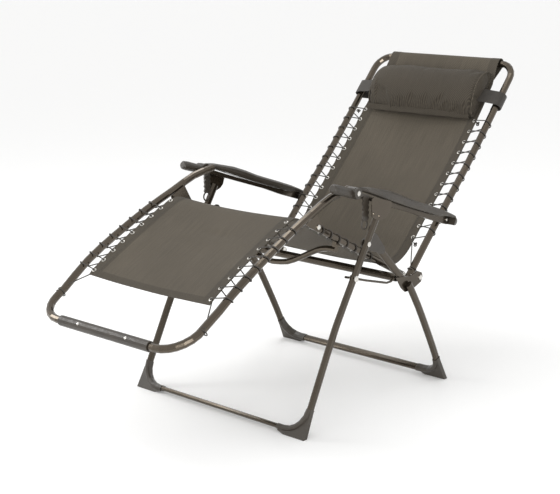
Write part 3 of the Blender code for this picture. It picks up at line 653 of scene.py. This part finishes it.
LEG_RUN = rail_run(LEG_REST_RAIL)
SEAT_RUN = Run([(*KNEE, SEAT_TUBE_X), (*HIP, SEAT_TUBE_X)])
BACK_RUN = rail_run([(BACK_X, side) for side in BACK_RAIL])


def nearest(run, place):
    """The length along a run closest to a side place."""
    best = min(range(201), key=lambda k: (run.row(run.length * k / 200)[0] - place[0]) ** 2
               + (run.row(run.length * k / 200)[1] - place[1]) ** 2)
    return run.length * best / 200


def hole_place(s, sign, lift):
    half = FABRIC.row(s)[2] + 0.0008
    return sling_place(s, sign * (1 - GROMMET_INSET / half), lift)


def round_tube(run, distance, sign, radius, start, sweep_deg, advance, steps):
    """Points of a cord that turns round a tube: start 90 is on top, and it goes outwards and under."""
    points = []
    for n in range(steps + 1):
        turn = math.radians(start - sweep_deg * n / steps)
        y, z, x = run.row(distance + advance * n / steps)
        way = run.way(distance + advance * n / steps)
        side = offset((y, z), way, 0.0, radius * math.sin(turn))
        points.append(at(sign * (x + radius * math.cos(turn)), side))
    return points


def lace(name, node, body, run, holes, sign, tube_r, tie_at=None, tie_end=None):
    """One elastic cord through all the holes of a side and round the tube between them."""
    turn_r = tube_r + LACE_R + LACE_CLEARS
    going = 1 if nearest(run, FABRIC.row(holes[-1])[:2]) > nearest(run, FABRIC.row(holes[0])[:2]) else -1
    route = []
    if tie_at is not None:
        route += round_tube(run, tie_at, sign, turn_r, 90, 400, going * 0.008, 18)
    for k, s in enumerate(holes):
        route += [hole_place(s, sign, -0.0055), hole_place(s, sign, 0.0052)]
        if k == len(holes) - 1 and tie_end is None:
            break
        distance = nearest(run, FABRIC.row(s)[:2]) + going * 0.004
        if k < len(holes) - 1:
            route += round_tube(run, distance, sign, turn_r, 118, 236, going * 0.012, 12)
        else:
            route += round_tube(run, tie_end, sign, turn_r, 90, 400, going * 0.008, 18)
    path = eased(route)
    made = tube(name, path, LACE_R, CORD, 7, Vector((0, 1, 0)))
    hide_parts(node)
    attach(made, body)
    return made


def eased(points):
    """The same path with each long span kept straight and its ends rounded a little."""
    path = [points[0]]
    for before, corner, after in zip(points, points[1:], points[2:]):
        a, b = (before - corner), (after - corner)
        cut = min(0.0028, a.length * 0.4, b.length * 0.4)
        if cut < 0.0009 or a.angle(b) > 2.6:
            path.append(corner)
        else:
            start, end = corner + a.normalized() * cut, corner + b.normalized() * cut
            path += [start, (start + end) * 0.25 + corner * 0.5, end]
    path.append(points[-1])
    return path


def knot(name, body, centre, size, sign):
    """An overhand knot in the elastic, as a closed trefoil."""
    path = []
    for n in range(KNOT_STEPS):
        t = 2 * math.pi * n / KNOT_STEPS
        path.append(centre + Vector((math.sin(t) + 2 * math.sin(2 * t), -sign * math.sin(3 * t) * 1.2,
                                     math.cos(t) - 2 * math.cos(2 * t))) * size)
    made = tube(name, path, LACE_R * 0.95, CORD, 7, Vector((0, 1, 0)), closed=True)
    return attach(made, body)


front_cords, rear_cords = [], []
for side_name, side_sign in SIDES:
    leg_cord = lace(f"lace_leg_{side_name}", f"leg_lace_{side_name}", "leg_rest", LEG_RUN, LEG_HOLES,
                    side_sign, TUBE_R, tie_at=nearest(LEG_RUN, LEG_TIE))
    seat_cord = lace(f"lace_seat_{side_name}", f"seat_lace_{side_name}", "seat", SEAT_RUN, SEAT_HOLES,
                     side_sign, SEAT_TUBE_R)
    back_cord = lace(f"lace_back_{side_name}", f"back_lace_{side_name}", "back", BACK_RUN, BACK_HOLES,
                     side_sign, TUBE_R, tie_end=nearest(BACK_RUN, BACK_TIE))
    front_cords += [leg_cord, seat_cord]
    rear_cords += [seat_cord, back_cord]
    for knot_name, s, lift, out in (("top", BACK_HOLES[0] - 0.012, 0.003, 0.013),
                                    ("low", BACK_HOLES[-1] - 0.020, -0.004, 0.010)):
        half_here = FABRIC.row(s)[2]
        knot(f"lace_knot_{knot_name}_{side_name}", "back",
             sling_place(s, side_sign * (1 + out / half_here), lift), KNOT_SIZE, side_sign)


# ---- footrest sleeve rivets ---------------------------------------------------------------------
def dome(name, centre, axis, radius, height, made_of, body):
    """A low round rivet head, set a little into what it holds."""
    axis = Vector(axis).normalized()
    u = axis.orthogonal().normalized()
    v = axis.cross(u)
    points = []
    stations = ((1.0, -0.4), (1.0, 0.25), (0.86, 0.62), (0.5, 0.92))
    sides = 16
    for r, h in stations:
        for n in range(sides):
            turn = 2 * math.pi * n / sides
            points.append(centre + (u * math.cos(turn) + v * math.sin(turn)) * (r * radius)
                          + axis * (h * height))
    points.append(centre + axis * height)
    faces = ring_faces(len(stations), sides)
    top = len(points) - 1
    last = (len(stations) - 1) * sides
    faces += [(last + n, last + (n + 1) % sides, top) for n in range(sides)]
    faces.append(tuple(range(sides))[::-1])
    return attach(mesh_piece(name, points, faces, made_of), body)


for side_name, side_sign in SIDES:
    slope = math.radians(RIVET_SLOPE_DEG)
    way_out = Vector((0, -math.sin(slope), math.cos(slope)))
    dome(f"footrest_rivet_{side_name}", at(side_sign * RIVET_X, FOOT_BAR) + way_out * RIVET_LIFT, way_out,
         RIVET_R, RIVET_HIGH, STEEL, "leg_rest")


# ---- head pillow --------------------------------------------------------------------------------
PILLOW_WAY = heading(BACK_BEND, BACK_TOP)
PILLOW_SECTION = ((-0.0180, 0.0070), (-0.0155, 0.0200), (-0.0050, 0.0335), (0.012, 0.0450), (0.034, 0.0565),
                  (0.060, 0.0650), (0.084, 0.0668), (0.103, 0.0645), (0.121, 0.0575), (0.136, 0.047),
                  (0.1475, 0.033), (0.152, 0.017), (0.145, 0.0065), (0.120, 0.0045), (0.080, 0.0040),
                  (0.040, 0.0040), (-0.002, 0.0045))
PILLOW_MIDDLE = 0.068
PILLOW_TAPER = ((-1.0, 0.62), (-0.94, 0.77), (-0.86, 0.88), (-0.72, 0.965), (-0.5, 1.0), (0.86, 1.0),
                (0.96, 0.975), (1.0, 0.92))


def pillow_place(x, forward, up):
    return at(x, offset(BACK_BEND, PILLOW_WAY, forward, up))


def along_and_up(co):
    """The opposite of pillow_place: how far a point is up the back and off it."""
    rel = (co.y + FRONT_FEET_TO_ORIGIN - BACK_BEND[0], co.z - BACK_BEND[1])
    return (rel[0] * PILLOW_WAY[0] + rel[1] * PILLOW_WAY[1], rel[1] * PILLOW_WAY[0] - rel[0] * PILLOW_WAY[1])


def pillow_section(share, steps=4):
    """The closed outline of the pillow, drawn in towards its middle by share."""
    rows = list(PILLOW_SECTION)
    loop = []
    count = len(rows)
    for k in range(count):
        four = [rows[(k + n - 1) % count] for n in range(4)]
        loop += [eased_between(four, m / steps) for m in range(steps)]
    return [(PILLOW_MIDDLE + (f - PILLOW_MIDDLE) * (0.3 + 0.7 * share),
             PILLOW_BACK_UP + (u - PILLOW_BACK_UP) * share) for f, u in loop]


def taper(x):
    """The share of the full section at x from -1 to 1: the far end is slack."""
    for (a, low), (b, high) in zip(PILLOW_TAPER, PILLOW_TAPER[1:]):
        if x <= b:
            return low + (high - low) * (x - a) / (b - a)
    return PILLOW_TAPER[-1][1]


def pillow_body():
    """The pillow before it is filled: its sections from end to end, with bulged ends."""
    xs = [-1, -0.985, -0.94, -0.86, -0.7, -0.5, -0.3, -0.1, 0.1, 0.3, 0.5, 0.7, 0.86, 0.94, 0.985, 1]
    end_x = PILLOW_HALF - PILLOW_END_INSET
    sections = [[pillow_place(x * end_x, f, u) for f, u in pillow_section(taper(x))] for x in xs]
    count = len(sections[0])
    points = [p for section in sections for p in section]
    faces = ring_faces(len(sections), count)
    for k, flip in ((0, True), (len(sections) - 1, False)):
        middle = sum(sections[k], Vector()) / count
        bulge = Vector((math.copysign(PILLOW_END_BULGE, sections[k][0].x), 0, 0))
        previous = [k * count + n for n in range(count)]
        for share in (0.75, 0.45):
            base = len(points)
            points += [middle + (p - middle) * share + bulge * (1 - share ** 2) for p in sections[k]]
            current = list(range(base, base + count))
            for n in range(count):
                m = (n + 1) % count
                quad = (previous[n], previous[m], current[m], current[n])
                faces.append(quad[::-1] if flip else quad)
            previous = current
        points.append(middle + bulge)
        for n in range(count):
            tri = (previous[n], previous[(n + 1) % count], len(points) - 1)
            faces.append(tri[::-1] if flip else tri)
    made = mesh_piece("pillow_cover", points, faces, PILLOW_CLOTH)
    maker = bmesh.new()
    maker.from_mesh(made.data)
    bmesh.ops.recalc_face_normals(maker, faces=maker.faces)
    maker.to_mesh(made.data)
    maker.free()
    return made


def simulated(body_piece):
    """The pillow cover after a short cloth simulation, with its seams held, so that it fills and wrinkles."""
    bpy.context.view_layer.objects.active = body_piece
    body_piece.select_set(True)
    remesh = body_piece.modifiers.new("even", "REMESH")
    remesh.mode = "VOXEL"
    remesh.voxel_size = PILLOW_VOXEL
    bpy.ops.object.modifier_apply(modifier="even")
    rest = [v.co.copy() for v in body_piece.data.vertices]
    held = body_piece.vertex_groups.new(name="held")
    for v in body_piece.data.vertices:
        forward, up = along_and_up(v.co)
        seam = abs(abs(v.co.x) - (PILLOW_HALF - PILLOW_END_INSET)) < 0.006 and (up < 0.012 or forward < 0.02)
        if up < 0.0075 or seam:
            held.add([v.index], 1.0, "REPLACE")
    cloth_fold = body_piece.modifiers.new("cloth", "CLOTH")
    settings = cloth_fold.settings
    settings.quality = 6
    settings.mass = 0.25
    settings.tension_stiffness = settings.compression_stiffness = 14
    settings.shear_stiffness = 8
    settings.bending_stiffness = 0.25
    settings.use_pressure = True
    settings.uniform_pressure_force = PILLOW_PRESSURE
    settings.shrink_min = PILLOW_SHRINK
    settings.vertex_group_mass = "held"
    settings.effector_weights.gravity = 0.0
    cloth_fold.collision_settings.use_collision = False
    cloth_fold.collision_settings.use_self_collision = False
    cloth_fold.point_cache.frame_start, cloth_fold.point_cache.frame_end = 1, PILLOW_FRAMES
    for number in range(1, PILLOW_FRAMES + 1):
        bpy.context.scene.frame_set(number)
    graph = bpy.context.evaluated_depsgraph_get()
    moved = [v.co.copy() for v in body_piece.evaluated_get(graph).data.vertices]
    body_piece.modifiers.remove(cloth_fold)
    bpy.context.scene.frame_set(1)
    for v, was, now in zip(body_piece.data.vertices, rest, moved):
        step = now - was
        if step.length > PILLOW_MOST_STEP:
            step *= PILLOW_MOST_STEP / step.length
        v.co = was + step
    for v in body_piece.data.vertices:
        _, up = along_and_up(v.co)
        if up < PILLOW_CLEARS:
            back_up = PILLOW_CLEARS - up
            v.co += Vector((0, -PILLOW_WAY[1] * back_up, PILLOW_WAY[0] * back_up))
    smooth = body_piece.modifiers.new("fine", "SUBSURF")
    smooth.levels = smooth.render_levels = 1
    bpy.ops.object.modifier_apply(modifier="fine")
    body_piece.data.shade_smooth()
    body_piece.select_set(False)
    return body_piece


def pillow_uv(piece):
    """Across and round the pillow, in metres, so that the weave keeps its size."""
    layer = piece.data.uv_layers.get("UVMap") or piece.data.uv_layers.new(name="UVMap")
    for loop in piece.data.loops:
        co = piece.data.vertices[loop.vertex_index].co
        forward, up = along_and_up(co)
        on_end = abs(co.x) > PILLOW_HALF - 0.006
        layer.data[loop.index].uv = (up, forward) if on_end else (co.x, forward - up * 0.6)


cover = pillow_body()
cover = simulated(cover)
pillow_uv(cover)
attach(cover, "pillow")
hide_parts("head_pillow")

for side_name, side_sign in SIDES:
    seam_x = side_sign * (PILLOW_HALF - 0.0025)
    loop_path = [pillow_place(seam_x, f, max(u, 0.0052))
                 for f, u in pillow_section(taper(side_sign) + 0.02, 3)]
    piping = tube(f"pillow_piping_{side_name}", loop_path, PIPING_R, PIPING, 8, Vector((1, 0, 0)),
                  closed=True)
    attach(piping, "pillow")


def flange():
    """The flat sewn lip along the pillow's lower edge."""
    columns, rows_count = 64, 5
    points, uvs, faces = [], [], []
    for layer in (0.0009, -0.0009):
        for k in range(rows_count + 1):
            for c in range(columns + 1):
                x = (2 * c / columns - 1) * (PILLOW_HALF - 0.012)
                t = k / rows_count
                wave = 0.0022 * noise.noise(Vector((x * 22.0, t * 1.4, 2.2))) * (0.3 + t)
                forward = -0.010 - 0.015 * t + 0.0015 * noise.noise(Vector((x * 14.0, 0.0, 7.0)))
                points.append(pillow_place(x, forward, 0.0190 - 0.0105 * t + wave + layer))
                uvs.append((x, t * 0.02))
    per = (rows_count + 1) * (columns + 1)

    def index(layer, k, c):
        return layer * per + k * (columns + 1) + c

    for k in range(rows_count):
        for c in range(columns):
            faces.append((index(0, k, c), index(0, k, c + 1), index(0, k + 1, c + 1), index(0, k + 1, c)))
            faces.append((index(1, k, c), index(1, k + 1, c), index(1, k + 1, c + 1), index(1, k, c + 1)))
        for c in (0, columns):
            faces.append((index(0, k, c), index(0, k + 1, c), index(1, k + 1, c), index(1, k, c)))
    for c in range(columns):
        for k in (0, rows_count):
            faces.append((index(0, k, c), index(0, k, c + 1), index(1, k, c + 1), index(1, k, c)))
    return mesh_piece("pillow_lower_lip", points, faces, PILLOW_CLOTH, uvs)


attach(flange(), "pillow")


# ---- floor, lights and camera -------------------------------------------------------------------
def floor():
    mesh = bpy.data.meshes.new("floor")
    far = FLOOR_REACH
    mesh.from_pydata([(-far, -far, 0), (far, -far, 0), (far, far, 0), (-far, far, 0)], [], [(0, 1, 2, 3)])
    s = Shader("pale_floor", (0.93, 0.93, 0.925), 0.9, specular=0.1)
    s.set("Emission Color", (1.0, 1.0, 1.0, 1.0))
    s.set("Emission Strength", FLOOR_GLOW)
    made = link(mesh, "floor", [s.made])
    made.location.z = FLOOR_Z


def area(name, place, target, size, power, size_y):
    lamp = bpy.data.lights.new(name, "AREA")
    lamp.shape = "RECTANGLE"
    lamp.size, lamp.size_y = size, size_y
    lamp.energy = power
    made = bpy.data.objects.new(name, lamp)
    made.location = place
    made.rotation_euler = (Vector(target) - Vector(place)).to_track_quat("-Z", "Y").to_euler()
    bpy.context.scene.collection.objects.link(made)


floor()
world = bpy.data.worlds.new("studio")
world.use_nodes = True
world.node_tree.nodes["Background"].inputs["Color"].default_value = (1.0, 1.0, 1.0, 1.0)
world.node_tree.nodes["Background"].inputs["Strength"].default_value = WORLD_STRENGTH
bpy.context.scene.world = world
for light in LIGHTS:
    area(*light)
bpy.context.scene.view_settings.view_transform = "Standard"
bpy.context.scene.view_settings.look = "None"

lens = bpy.data.cameras.new("camera")
lens.lens = CAMERA_LENS
lens.sensor_width = CAMERA_SENSOR
lens.clip_end = CAMERA_SEES
camera = bpy.data.objects.new("camera", lens)
camera.location = CAMERA_AT
camera.rotation_euler = (math.radians(CAMERA_TILT_DEG), 0.0, math.radians(CAMERA_TURN_DEG))
bpy.context.scene.collection.objects.link(camera)
bpy.context.scene.camera = camera
